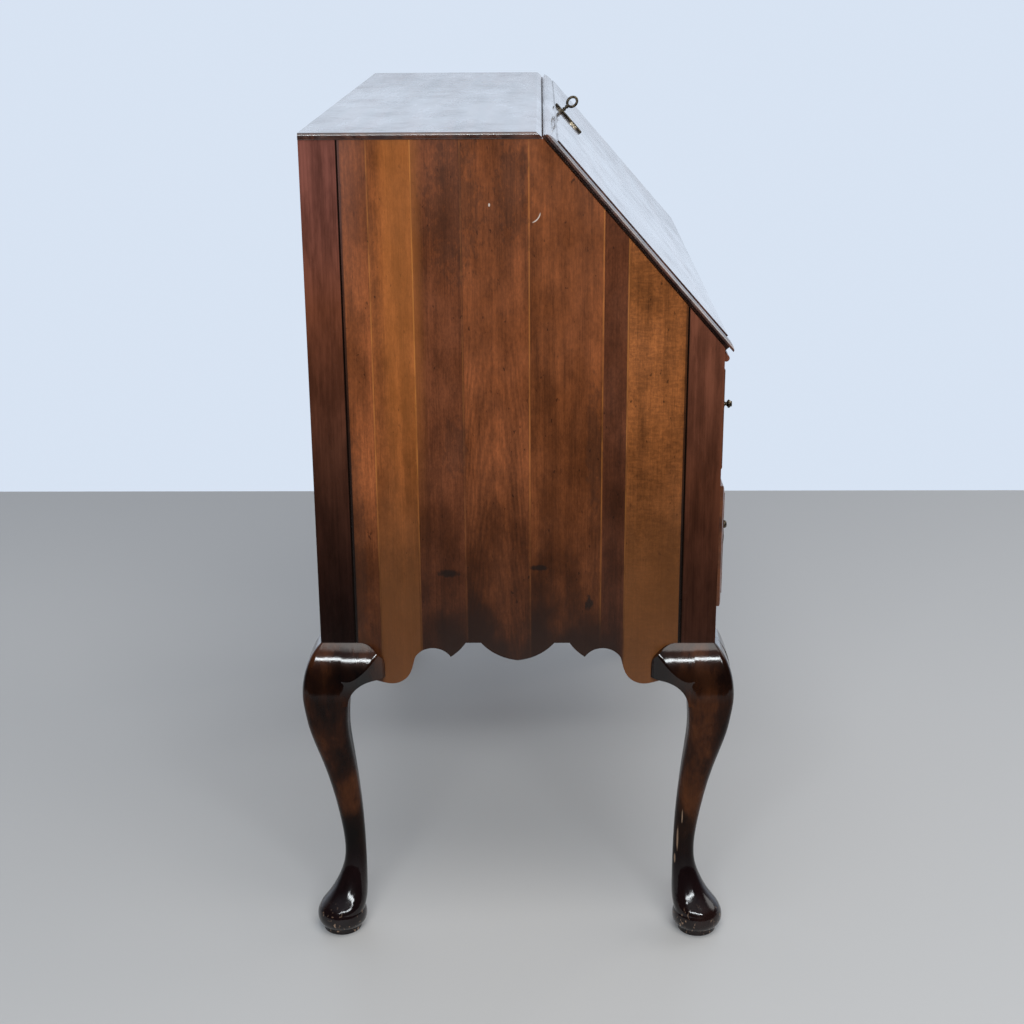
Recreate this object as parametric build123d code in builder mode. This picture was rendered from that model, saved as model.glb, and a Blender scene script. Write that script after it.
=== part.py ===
from build123d import *
import os
from math import atan2, cos, hypot, radians, sin

# A slant-front secretary desk on cabriole legs.
# The origin is on the floor under the middle of the desk, +Z is up and the front faces -Y.
# Most profiles are drawn with "reach", the distance forwards from the rear face, and height.

# ------------------------------------------------------------------ driving dimensions (mm)
case_width = 876
case_depth = 457
desk_height = 965
case_bottom = 384            # top of the knees
side_thickness = 20
stile_width = 41             # the square leg post and the stile above it

side_top = 957.5             # top edge of the sides, under the lip of the top board
slope_foot_height = 732.05   # where the slanted edge meets the front face
slope_angle = 48.6

writing_height = 725.3
board_thickness = 20.3
writing_underside = writing_height - board_thickness
hinge_reach = 458.3
hinge_height = 721.4
bead_radius = 3.8
hinge_clearance = bead_radius + 0.35

lid_lip_under = 3.9          # heights above the slanted plane
lid_field = 10.3
lid_inner = -9.96
lid_side_inset = 5           # lid lip to the outer face of the side

rail_bottom_top = 431        # top of the apron, floor of the lower drawer
rail_middle = (565, 588)
drawer_lip = 6
front_proud = 7.8            # drawer field in front of the case
front_edge = 3.9
moulding_width = 12
running_gap = 0.7

loper_slot = (20, 48)        # across, from the outer face of the side
divider_span = (48, 60)
gallery_reach = 205
gallery_shelf_heights = (789, 797)
back_reach = (2, 12)

pull_spread = 35             # post to middle of the pull
pull_height_lower = 495
pull_inset_lower = 135       # middle of the pull from the outer face of the side
pull_height_upper = 648
pull_inset_upper = 290
pull_stand = 8               # pull axis in front of the drawer field

# ------------------------------------------------------------------ derived places
left_x = -case_width / 2
right_x = -left_x
rear_y = case_depth / 2
front_y = -rear_y
inner_x = right_x - side_thickness
post_x = right_x - stile_width
up = Vector(0, 0, 1)


def at_reach(reach):
    """Y of a point this far in front of the rear face."""
    return rear_y - reach


def profile_plane(x):
    """Plane across the desk at x, drawn in (reach, height); it extrudes towards -X."""
    return Plane(origin=(x, rear_y, 0), x_dir=(0, -1, 0), z_dir=(-1, 0, 0))


slope_cos = cos(radians(slope_angle))
slope_sin = sin(radians(slope_angle))


def slope_plane(x):
    """Plane across the desk at x, drawn in (distance down the slope, height above the slope).

    Its zero is where the slope meets the front face.
    """
    return Plane(
        origin=(x, front_y, slope_foot_height),
        x_dir=(0, -slope_cos, -slope_sin),
        z_dir=(-1, 0, 0),
    )


def on_slope(down, out):
    """(reach, height) of a point given down the slope and out of it."""
    return (
        case_depth + down * slope_cos + out * slope_sin,
        slope_foot_height - down * slope_sin + out * slope_cos,
    )


hinge_down = (hinge_reach - case_depth) * slope_cos - (hinge_height - slope_foot_height) * slope_sin
slope_top = -302.1           # front edge of the top board, measured down the slope
lid_core_top = slope_top + 0.8
lid_lip_top = slope_top + 0.6
lid_core_foot = 6.8
lid_lip_foot = 9.8


def block(xs, reaches, heights, mode=Mode.ADD):
    """Rectangular block by its extents across, forwards and up, in the open part."""
    centre = (sum(xs) / 2, at_reach(sum(reaches) / 2), sum(heights) / 2)
    with Locations(centre):
        Box(xs[1] - xs[0], reaches[1] - reaches[0], heights[1] - heights[0], mode=mode)


def slope_block(xs, downs, outs, mode=Mode.ADD):
    """Rectangular block square to the slope, in the open part."""
    reach, height = on_slope(sum(downs) / 2, sum(outs) / 2)
    with Locations(Location((sum(xs) / 2, at_reach(reach), height), (slope_angle, 0, 0))):
        Box(xs[1] - xs[0], downs[1] - downs[0], outs[1] - outs[0], mode=mode)


def cut_above_slope():
    """Take everything above the slanted plane off the open part."""
    slope_block((-case_width, case_width), (-600, 200), (0, 400), Mode.SUBTRACT)


def mirrored(piece, plane=Plane.YZ):
    """The same piece for the other side of the desk."""
    with BuildPart() as other:
        mirror(piece.part, about=plane)
    return other


def moulded_board(base, width, height, edge, field, step, band):
    """Board standing on a plane, with a thumbnail moulding worked round its four edges.

    edge is its thickness at the rim, field at the middle; band is the moulding's width.
    """
    outside = 2
    with BuildPart() as board:
        with BuildSketch(base):
            Rectangle(width, height)
        extrude(amount=field)
        for direction, half, run in (
            (base.y_dir, height / 2, width),
            (-base.y_dir, height / 2, width),
            (base.x_dir, width / 2, height),
            (-base.x_dir, width / 2, height),
        ):
            rim = Plane(
                origin=base.origin + direction * half,
                x_dir=-direction,
                z_dir=(-direction).cross(base.z_dir),
            )
            with BuildSketch(rim):
                with BuildLine():
                    EllipticalCenterArc((band, edge), band, field - step - edge, 90, arc_size=90)
                    Polyline(
                        (0, edge),
                        (-outside, edge),
                        (-outside, field + outside),
                        (band, field + outside),
                        (band, field - step),
                    )
                make_face()
            extrude(amount=run, both=True, mode=Mode.SUBTRACT)
    return board


# ------------------------------------------------------------------ cabriole legs
# Each station: height, outer face and inner face from the post's outer face (outwards is
# negative), and how round the section is, from a square (0) to a circle (1).
leg_stations = (
    (384, 0, 41, 0.10),
    (379, -5.2, 40.6, 0.16),
    (372, -10.4, 39.8, 0.22),
    (362, -15.4, 38.2, 0.28),
    (350, -19.4, 36.2, 0.32),
    (335, -22.0, 33.2, 0.36),
    (318, -22.5, 31.0, 0.40),
    (300, -20.8, 29.2, 0.46),
    (278, -17.6, 28.4, 0.54),
    (252, -11.6, 30.2, 0.62),
    (222, -3.9, 33.2, 0.70),
    (190, 3.1, 36.0, 0.78),
    (158, 8.7, 38.2, 0.84),
    (128, 12.8, 39.5, 0.90),
    (102, 14.5, 40.0, 0.93),
    (80, 12.2, 40.4, 0.94),
    (62, 5.2, 40.7, 0.95),
    (49, -2.4, 40.9, 0.96),
    (38, -11.6, 40.2, 0.97),
    (27, -18.4, 38.0, 0.97),
)
foot_centre = 9.8            # in from both outer faces of the post
foot_ring_radius = 23.2
foot_disc_radius = 30.4


def leg_and_stile(is_front):
    """Left leg: pad foot, cabriole leg, square post and the thin stile up to the top, in one."""
    corner_y = front_y if is_front else rear_y
    inwards = 1 if is_front else -1
    stile_reach = (case_depth - stile_width, case_depth) if is_front else (0, stile_width)
    with BuildPart() as leg:
        for height, outer, inner, roundness in leg_stations:
            size = inner - outer
            middle = (outer + inner) / 2
            with BuildSketch(Plane.XY.offset(height)):
                with Locations((left_x + middle, corner_y + inwards * middle)):
                    RectangleRounded(size, size, 0.498 * roundness * size)
        loft()
        foot_axis = Plane(
            origin=(left_x + foot_centre, corner_y + inwards * foot_centre, 0),
            x_dir=(1, 0, 0),
            z_dir=(0, -1, 0),
        )
        with BuildSketch(foot_axis):
            with BuildLine():
                Polyline((0, 30), (0, 0), (foot_ring_radius - 1, 0))
                RadiusArc((foot_ring_radius - 1, 0), (foot_ring_radius, 1), -1)
                Line((foot_ring_radius, 1), (foot_ring_radius, 6.5))
                Spline(
                    (foot_ring_radius, 6.5),
                    (foot_disc_radius - 1, 13),
                    (foot_disc_radius, 19.5),
                    (foot_disc_radius - 2, 28),
                    (foot_disc_radius - 5.5, 32),
                )
                Polyline((foot_disc_radius - 5.5, 32), (0, 32), (0, 30))
            make_face()
        revolve(axis=Axis(foot_axis.origin, (0, 0, 1)))
        block((left_x, left_x + stile_width), stile_reach, (case_bottom, rail_bottom_top))
        block((left_x, -inner_x), stile_reach, (rail_bottom_top, side_top))
        if is_front:
            cut_above_slope()
    return leg


# ------------------------------------------------------------------ knee blocks
ear_root = 24
ear_length = 73.5
ear_rounding = 5


def knee_block(corner, along, outward):
    """Scrolled ear that carries the knee along the bottom of the case; its root is let into the leg."""
    face = Plane(origin=corner, x_dir=along, z_dir=outward)
    plan = Plane(origin=corner + up * 400, x_dir=along, z_dir=-up)
    section = Plane(origin=corner, x_dir=outward, z_dir=outward.cross(up))
    with BuildPart() as ear:
        with BuildSketch(face):
            with BuildLine():
                Polyline((ear_root, 312), (ear_root, case_bottom), (42, case_bottom))
                Spline(
                    (42, case_bottom),
                    (57, 380.5),
                    (68.2, 370),
                    (ear_length, 354),
                    tangents=((1, 0), (0, -1)),
                )
                Polyline((ear_length, 354), (ear_length, 342), (62, 341.5))
                Spline((62, 341.5), (45, 337), (34, 325), (30.5, 312))
                Line((30.5, 312), (ear_root, 312))
            make_face()
        extrude(amount=30)
        with BuildSketch(plan):
            with BuildLine():
                Polyline((ear_length, 0), (ear_root - 1, 0), (ear_root - 1, 21), (ear_root, 21))
                Spline((ear_root, 21), (40, 20.6), (52, 17.8), (63, 12.2), (70.5, 6.2), (ear_length, 2.4))
                Line((ear_length, 2.4), (ear_length, 0))
            make_face()
        extrude(amount=120, mode=Mode.INTERSECT)
        with BuildSketch(section):
            with BuildLine():
                Polyline((0, 300), (0, case_bottom))
                Spline((0, case_bottom), (10, 373), (16, 362), (20.6, 347), (22.5, 325), (22.5, 300))
                Line((22.5, 300), (0, 300))
            make_face()
        extrude(amount=120, both=True, mode=Mode.INTERSECT)
        crease = ear.edges().filter_by(GeomType.BSPLINE).sort_by(Edge.length)[-1]
        fillet(crease, radius=ear_rounding)
    return ear


# ------------------------------------------------------------------ scalloped lower edges
end_drop = 332.5             # lowest point of the lobes beside the posts
arch_peak = 377.3
cusp = 366.3
lobe_drop = 362
# how far the end lobe's features lie from the post
end_lobe = 42
end_rise = 68
end_cusp = 109.3
end_flat = 127.1


def scalloped_board(middle_plane, half_span, lobe_half, top, thickness):
    """Board with a scalloped lower edge, symmetrical about the plane's Y."""
    rise = half_span - end_rise
    with BuildPart() as board:
        with BuildSketch(middle_plane):
            with BuildLine():
                ThreePointArc((0, lobe_drop), (lobe_half * 0.6, lobe_drop + 8), (lobe_half, case_bottom))
                Line((lobe_half, case_bottom), (half_span - end_flat, case_bottom))
                ThreePointArc(
                    (half_span - end_flat, case_bottom),
                    (half_span - end_flat + 10.5, cusp + 5.5),
                    (half_span - end_cusp, cusp),
                )
                ThreePointArc(
                    (half_span - end_cusp, cusp),
                    ((half_span - end_cusp + rise) / 2, arch_peak),
                    (rise, cusp),
                )
                Spline(
                    (rise, cusp),
                    (rise + 3.5, 353.5),
                    (rise + 9.5, 341),
                    (half_span - end_lobe, end_drop),
                    (half_span - 25, end_drop + 3),
                    (half_span, end_drop + 7),
                    tangents=((0.4, -1), (1, 0.1)),
                )
                Polyline(
                    (half_span, end_drop + 7),
                    (half_span, top),
                    (0, top),
                )
                mirror(about=Plane.YZ)
            make_face()
        extrude(amount=thickness)
    return board


# ------------------------------------------------------------------ side panels
def side_panel():
    """Left side: boards glued into one panel, cut to the slope and to the scallops."""
    middle_plane = Plane(origin=(-inner_x, 0, 0), x_dir=(0, -1, 0), z_dir=(-1, 0, 0))
    half_span = case_depth / 2 - stile_width - 0.2
    board = scalloped_board(middle_plane, half_span, 42.6, side_top, side_thickness)
    with BuildPart() as panel:
        add(board.part)
        cut_above_slope()
    return panel


# ------------------------------------------------------------------ top and writing boards
top_overhang = 1.5
strike_half = 17
strike_thickness = 1.4
strike_outs = (lid_inner, -1.4)
top_body_under = 945


def top_board():
    """Top: a lip over the sides, a thicker body between them, the front cut square to the slope."""
    flat_end = 251
    bevel_end = (257, 960)
    front_top = on_slope(slope_top, 0)[1]
    lip_foot = on_slope(slope_top, (side_top - front_top) / slope_cos)
    body_foot = on_slope(slope_top, (top_body_under - front_top) / slope_cos)
    with BuildPart() as top:
        with BuildSketch(profile_plane(right_x + top_overhang)):
            with BuildLine():
                Polyline(
                    (0, side_top),
                    (0, desk_height),
                    (flat_end, desk_height),
                    bevel_end,
                    on_slope(slope_top, 0),
                    lip_foot,
                    (0, side_top),
                )
            make_face()
        extrude(amount=case_width + 2 * top_overhang)
        fillet(top.edges().filter_by(Axis.Y).group_by(Axis.Z)[-1], radius=3.2)
        fillet(top.edges().filter_by(Axis.Y).group_by(Axis.Z)[0], radius=2.2)
        with BuildSketch(profile_plane(inner_x - 0.2)):
            with BuildLine():
                Polyline(
                    (0, side_top),
                    (0, top_body_under),
                    body_foot,
                    lip_foot,
                    (0, side_top),
                )
            make_face()
        extrude(amount=2 * (inner_x - 0.2))
        slope_block(
            (-strike_half, strike_half),
            (slope_top - strike_thickness, slope_top + 1),
            strike_outs,
            Mode.SUBTRACT,
        )
        slope_block(
            (-bolt_size[0] / 2 - 0.5, bolt_size[0] / 2 + 0.5),
            (slope_top - bolt_throw - 2, slope_top),
            (bolt_out - bolt_size[1] / 2 - 0.4, bolt_out + bolt_size[1] / 2 + 0.4),
            Mode.SUBTRACT,
        )
    return top


hinge_places = (-300, 300)
hinge_length = 56
knuckle_radius = 3.6
pin_radius = 1.3
leaf_thickness = 2


def hinge_axis_cylinder(radius, start, end, mode=Mode.ADD):
    """Cylinder on the lid's hinge axis between two places across the desk."""
    with Locations(Location(((start + end) / 2, at_reach(hinge_reach), hinge_height), (0, 90, 0))):
        Cylinder(radius, end - start, mode=mode)


def writing_board():
    """Writing surface; its front edge is cut back to receive the closed lid and the hinges."""
    notch_out = lid_inner - 0.25
    notch_top = (notch_out * slope_cos + slope_foot_height - writing_height) / slope_sin
    with BuildPart() as board:
        with BuildSketch(profile_plane(inner_x)):
            with BuildLine():
                Polyline(
                    (back_reach[1], writing_underside),
                    (case_depth, writing_underside),
                    (case_depth, hinge_height),
                    on_slope(hinge_down - 1.3, notch_out),
                    on_slope(notch_top, notch_out),
                    (back_reach[1], writing_height),
                    (back_reach[1], writing_underside),
                )
            make_face()
        extrude(amount=2 * inner_x)
        hinge_axis_cylinder(bead_radius, -inner_x, inner_x)
        block(
            (-case_width, case_width),
            (case_depth, case_depth + 2 * bead_radius),
            (writing_underside, writing_height + bead_radius),
            mode=Mode.SUBTRACT,
        )
        for place in hinge_places:
            half = hinge_length / 2
            hinge_axis_cylinder(hinge_clearance, place - half - 0.5, place + half + 0.5, Mode.SUBTRACT)
            block(
                (place - half, place + half),
                (case_depth - leaf_thickness, case_depth + 1),
                (writing_underside - 1, hinge_height),
                mode=Mode.SUBTRACT,
            )
    return board


def writing_bead():
    """Half-round bead along the front of the case, in three lengths between the hinges."""
    gap = hinge_length / 2 + 0.5
    stops = [left_x]
    for place in hinge_places:
        stops += [place - gap, place + gap]
    stops.append(right_x)
    with BuildPart() as bead:
        for start, end in zip(stops[::2], stops[1::2]):
            hinge_axis_cylinder(bead_radius, start, end)
        block(
            (left_x, right_x),
            (hinge_reach - 2 * bead_radius, case_depth),
            (hinge_height - 2 * bead_radius, hinge_height + 2 * bead_radius),
            mode=Mode.SUBTRACT,
        )
    return bead


# ------------------------------------------------------------------ hinges
leaf_height = 11.5
lid_leaf_length = 25
case_knuckles = ((-28, -17), (-5, 5), (17, 28))
lid_knuckles = ((-16.7, -5.3), (5.3, 16.7))


def hinge_case_leaves():
    """Leaves let into the front edge of the writing board, with their knuckles."""
    with BuildPart() as leaves:
        for place in hinge_places:
            leaf = (place - hinge_length / 2, place + hinge_length / 2)
            leaf_span = (case_depth - leaf_thickness, case_depth)
            block(leaf, leaf_span, (writing_underside, writing_underside + leaf_height))
            for start, end in case_knuckles:
                block((place + start, place + end), leaf_span, (writing_underside, hinge_height))
                hinge_axis_cylinder(knuckle_radius, place + start, place + end)
            hinge_axis_cylinder(pin_radius, leaf[0] - 1, leaf[1] + 1, Mode.SUBTRACT)
    return leaves


def hinge_pins():
    """Plain pins through the knuckles."""
    with BuildPart() as pins:
        for place in hinge_places:
            hinge_axis_cylinder(pin_radius, place - hinge_length / 2, place + hinge_length / 2)
    return pins


def hinge_lid_leaves():
    """Leaves let into the inner face of the lid, with their knuckles."""
    with BuildPart() as leaves:
        for place in hinge_places:
            with BuildSketch(slope_plane(place + hinge_length / 2)):
                with Locations((hinge_down - 4.3 - lid_leaf_length / 2, lid_inner + leaf_thickness / 2)):
                    Rectangle(lid_leaf_length, leaf_thickness)
            extrude(amount=hinge_length)
            for start, end in lid_knuckles:
                with BuildSketch(slope_plane(place + end)):
                    with Locations((hinge_down - 2.5, lid_inner + leaf_thickness / 2)):
                        Rectangle(5, leaf_thickness)
                extrude(amount=end - start)
                hinge_axis_cylinder(knuckle_radius, place + start, place + end)
                hinge_axis_cylinder(pin_radius + 0.05, place + start - 1, place + end + 1, Mode.SUBTRACT)
    return leaves


# ------------------------------------------------------------------ lid, lock and key
lid_half_width = right_x - lid_side_inset
core_half_width = inner_x - 0.6
key_down = slope_top + 27
key_shank_radius = 1.7
keyhole_radius = 2.2
lock_width = 62
lock_down = (lid_core_top, lid_core_top + 44)
lock_depth = (lid_inner, lid_inner + 9)
bolt_out = lid_inner + 5
bolt_size = (14, 3.6)        # across, and out of the slope
bolt_throw = 8
bolt_length = 17
bit_reach = 6.2


def slope_pin(down, outs, radius, mode=Mode.ADD):
    """Cylinder square to the slope at mid width."""
    reach, height = on_slope(down, sum(outs) / 2)
    with Locations(Location((0, at_reach(reach), height), (slope_angle, 0, 0))):
        Cylinder(radius, outs[1] - outs[0], mode=mode)


def lid_panel():
    """Lid: a moulded face that lips over the sides, and a core that drops between them."""
    middle = (lid_lip_top + lid_lip_foot) / 2
    reach, height = on_slope(middle, lid_lip_under)
    base = Plane(
        origin=(0, at_reach(reach), height),
        x_dir=(1, 0, 0),
        z_dir=(0, -slope_sin, slope_cos),
    )
    face = moulded_board(
        base, 2 * lid_half_width, lid_lip_foot - lid_lip_top, 0.8, lid_field - lid_lip_under, 1.4, 14.5
    )
    with BuildPart() as lid:
        add(face.part)
        slope_block(
            (-core_half_width, core_half_width), (lid_core_top, lid_core_foot), (lid_inner, lid_lip_under)
        )
        hinge_axis_cylinder(hinge_clearance, left_x, right_x, Mode.SUBTRACT)
        for place in hinge_places:
            slope_block(
                (place - hinge_length / 2, place + hinge_length / 2),
                (hinge_down - 4.3 - lid_leaf_length, hinge_down),
                (lid_inner - 1, lid_inner + leaf_thickness),
                Mode.SUBTRACT,
            )
        slope_block(
            (-lock_width / 2, lock_width / 2),
            (lock_down[0] - 1, lock_down[1]),
            (lock_depth[0] - 1, lock_depth[1]),
            Mode.SUBTRACT,
        )
        slope_pin(key_down, (lid_inner, lid_field + 1), keyhole_radius, Mode.SUBTRACT)
    return lid


def lock_case():
    """Flush lock let into the back of the lid, with a channel for the bolt and room for the bit."""
    with BuildPart() as lock:
        slope_block((-lock_width / 2, lock_width / 2), lock_down, lock_depth)
        slope_block(
            (-bolt_size[0] / 2 - 0.2, bolt_size[0] / 2 + 0.2),
            (lock_down[0] - 1, lock_down[0] + bolt_length + 0.5),
            (bolt_out - bolt_size[1] / 2 - 0.2, bolt_out + bolt_size[1] / 2 + 0.2),
            Mode.SUBTRACT,
        )
        slope_pin(key_down, (bolt_out - 2.2, bolt_out + 2.2), bit_reach + 0.6, Mode.SUBTRACT)
        slope_pin(key_down, (bolt_out, lock_depth[1] + 1), key_shank_radius + 0.08, Mode.SUBTRACT)
    return lock


def lock_bolt():
    """Sliding bolt, drawn back inside the lock."""
    with BuildPart() as bolt:
        slope_block(
            (-bolt_size[0] / 2, bolt_size[0] / 2),
            (lock_down[0] + 0.2, lock_down[0] + bolt_length),
            (bolt_out - bolt_size[1] / 2, bolt_out + bolt_size[1] / 2),
        )
    return bolt


bow_centre_out = lid_field + 18.6
bow_half = (8.6, 7.3)        # oval bow: out of the slope, and along it
bow_band = 3.4
bow_thickness = 3.2
escutcheon_thickness = 3


def key_plane():
    """Plane along the key: X out of the lid, Y up the slope."""
    reach, height = on_slope(key_down, 0)
    return Plane(
        origin=(0, at_reach(reach), height),
        x_dir=(0, -slope_sin, slope_cos),
        z_dir=(1, 0, 0),
    )


def lid_key():
    """Key with an oval ring bow, its shank through the keyhole and its bit inside the lock."""
    bow_start = bow_centre_out - bow_half[0]
    with BuildPart() as key:
        with BuildSketch(key_plane()):
            with Locations((bow_centre_out, 0)):
                Ellipse(*bow_half)
                Ellipse(bow_half[0] - bow_band, bow_half[1] - bow_band, mode=Mode.SUBTRACT)
        extrude(amount=bow_thickness / 2, both=True)
        fillet(key.edges().filter_by(GeomType.ELLIPSE), radius=bow_thickness * 0.38)
        slope_pin(key_down, (bolt_out - 2, bow_start + 1), key_shank_radius)
        slope_pin(key_down, (lid_field + 4, lid_field + 6), key_shank_radius + 1)
        slope_pin(key_down, (bow_start - 1.6, bow_start - 0.2), key_shank_radius + 0.9)
        slope_block(
            (-0.8, 0.8),
            (key_down, key_down + bit_reach),
            (bolt_out - 1.6, bolt_out + 1.6),
        )
    return key


def key_escutcheon():
    """Long thin plate round the keyhole, with a waisted tail down the lid."""
    reach, height = on_slope(key_down, lid_field)
    face = Plane(
        origin=(0, at_reach(reach), height),
        x_dir=(1, 0, 0),
        z_dir=(0, -slope_sin, slope_cos),
    )
    with BuildPart() as plate:
        with BuildSketch(face):
            with BuildLine():
                Spline(
                    (0, 12.5), (4, 10), (7, 1), (4.6, -9), (3.2, -18), (5.2, -27), (4.4, -34), (0, -37.5)
                )
                mirror(about=Plane.YZ)
            make_face()
        extrude(amount=escutcheon_thickness)
        chamfer(plate.faces().filter_by(face).sort_by(Axis.Z)[-1].edges(), length=0.9)
        slope_pin(key_down, (lid_field - 1, lid_field + 5), keyhole_radius, Mode.SUBTRACT)
    return plate


def strike_plate():
    """Plate let into the slanted front of the top board, with the slot for the bolt."""
    with BuildPart() as plate:
        slope_block((-strike_half, strike_half), (slope_top - strike_thickness, slope_top), strike_outs)
        slope_block(
            (-bolt_size[0] / 2 - 0.5, bolt_size[0] / 2 + 0.5),
            (slope_top - 3, slope_top + 1),
            (bolt_out - bolt_size[1] / 2 - 0.4, bolt_out + bolt_size[1] / 2 + 0.4),
            Mode.SUBTRACT,
        )
    return plate


# ------------------------------------------------------------------ frame inside the case
runner_depth = (back_reach[1], case_depth - 40)


def front_apron():
    """Scalloped rail between the front legs, under the lower drawer."""
    plane = Plane(origin=(0, at_reach(case_depth - 20), 0), x_dir=(1, 0, 0), z_dir=(0, -1, 0))
    return scalloped_board(plane, post_x - 0.2, 92, rail_bottom_top, 20)


def back_panel():
    """Upright boards across the back, between the rear stiles."""
    count = 6
    width = 2 * inner_x / count
    with BuildPart() as back:
        for number in range(count):
            start = -inner_x + number * width
            block((start + 0.3, start + width - 0.3), back_reach, (rail_bottom_top, top_body_under))
    return back


def rear_rail():
    """Plain rail between the rear legs."""
    with BuildPart() as rail:
        block((-post_x + 0.2, post_x - 0.2), (0, 20), (case_bottom - 8, rail_bottom_top))
    return rail


def middle_rail():
    """Front rail between the two rows of drawers."""
    with BuildPart() as rail:
        block((-inner_x, inner_x), (runner_depth[1], case_depth), rail_middle)
    return rail


def upper_runners():
    """Side runners under the lopers and the upper drawer."""
    with BuildPart() as runners:
        for side in (-1, 1):
            xs = sorted((side * inner_x, side * (inner_x - 76)))
            block(xs, runner_depth, rail_middle)
    return runners


def lower_runners():
    """Side runners under the lower drawer."""
    between_posts = (stile_width + 0.3, case_depth - stile_width - 0.3)
    with BuildPart() as runners:
        for side in (-1, 1):
            xs = sorted((side * inner_x, side * (inner_x - 34)))
            block(xs, between_posts, (rail_bottom_top - 16, rail_bottom_top))
    return runners


def loper_dividers():
    """Uprights between the lopers and the upper drawer."""
    with BuildPart() as dividers:
        for side in (-1, 1):
            xs = sorted(side * (right_x - place) for place in divider_span)
            block(xs, (back_reach[1], case_depth), (rail_middle[1], writing_underside))
    return dividers


# ------------------------------------------------------------------ lopers
loper_heights = (588.4, 704.1)
loper_front = case_depth + 3.6
loper_rear = 52
loper_knob_height = 661


def loper():
    """Left loper: a pull-out arm that carries the open lid."""
    xs = (left_x + loper_slot[0] + running_gap, left_x + loper_slot[1] - running_gap)
    with BuildPart() as arm:
        block(xs, (loper_rear, loper_front), loper_heights)
        fillet(arm.faces().sort_by(Axis.Y)[0].edges(), radius=1.6)
    return arm


def turned_knob(x, reach, height, head_radius, length):
    """Small turned knob standing forwards from a face."""
    axis_plane = Plane(origin=(x, at_reach(reach), height), x_dir=(1, 0, 0), z_dir=(0, 0, 1))
    neck = head_radius * 0.42
    with BuildPart() as knob:
        with BuildSketch(axis_plane):
            with BuildLine():
                Polyline((0, 0), (head_radius * 0.8, 0), (head_radius * 0.8, -length * 0.12))
                Spline(
                    (head_radius * 0.8, -length * 0.12),
                    (neck, -length * 0.34),
                    (head_radius * 0.98, -length * 0.64),
                    (head_radius * 0.6, -length * 0.95),
                    (0, -length),
                    tangents=((-1, -0.3), (-1, 0)),
                )
                Line((0, -length), (0, 0))
            make_face()
        revolve(axis=Axis((x, at_reach(reach), height), (0, 1, 0)))
    return knob


# ------------------------------------------------------------------ drawers
side_board = 10
drawer_back = 10
bottom_board = 6
bottom_lift = 6
groove = 3


def drawer_front(half_width, heights, lips, holes):
    """Front with a thumbnail-moulded lip; the body behind it fits the opening.

    lips are how far the lip stands over the opening at the sides, the foot and the head;
    holes are the places of the pull posts.
    """
    lip_side, lip_foot, lip_head = lips
    low = heights[0] - lip_foot
    high = heights[1] + lip_head
    base = Plane(
        origin=(0, front_y, (low + high) / 2),
        x_dir=(1, 0, 0),
        z_dir=(0, -1, 0),
    )
    face = moulded_board(
        base, 2 * (half_width + lip_side), high - low, front_edge, front_proud, 1, moulding_width
    )
    body_half = half_width - running_gap
    with BuildPart() as front:
        add(face.part)
        block(
            (-body_half, body_half),
            (case_depth - front_body, case_depth),
            (heights[0] + 0.5, heights[1] - 1),
        )
        block(
            (-body_half + groove, body_half - groove),
            (case_depth - front_body, case_depth - front_body + groove),
            (heights[0] + bottom_lift, heights[0] + bottom_lift + bottom_board),
            mode=Mode.SUBTRACT,
        )
        for x, height in holes:
            with Locations(Location((x, front_y, height), (90, 0, 0))):
                Cylinder(shank_radius, 60, mode=Mode.SUBTRACT)
    return front


front_body = 14
shank_radius = 2


def drawer_sides(half_width, heights, rear):
    """Two sides, grooved for the bottom."""
    outer = half_width - running_gap
    with BuildPart() as sides:
        for side in (-1, 1):
            xs = sorted((side * outer, side * (outer - side_board)))
            block(xs, (rear, case_depth - front_body), (heights[0] + 0.5, heights[1] - 4))
        block(
            (-outer + side_board - groove, outer - side_board + groove),
            (rear, case_depth - front_body),
            (heights[0] + bottom_lift, heights[0] + bottom_lift + bottom_board),
            mode=Mode.SUBTRACT,
        )
    return sides


def drawer_back_board(half_width, heights, rear):
    """Back, above the bottom and between the sides."""
    inner = half_width - running_gap - side_board
    with BuildPart() as back:
        block(
            (-inner, inner),
            (rear, rear + drawer_back),
            (heights[0] + bottom_lift + bottom_board, heights[1] - 6),
        )
    return back


def drawer_bottom(half_width, heights, rear):
    """Thin bottom in the grooves, slid in under the back."""
    inner = half_width - running_gap - side_board + groove
    with BuildPart() as bottom:
        block(
            (-inner, inner),
            (rear, case_depth - front_body + groove),
            (heights[0] + bottom_lift, heights[0] + bottom_lift + bottom_board),
        )
    return bottom


# ------------------------------------------------------------------ pulls
post_base_radius = 8.5
post_head_radius = 4.4
nut_radius = 5
nut_thickness = 4
bail_wire = 2
bail_drop = 29
bail_pin_radius = 1.6
pull_axis_reach = case_depth + front_proud + pull_stand


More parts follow.
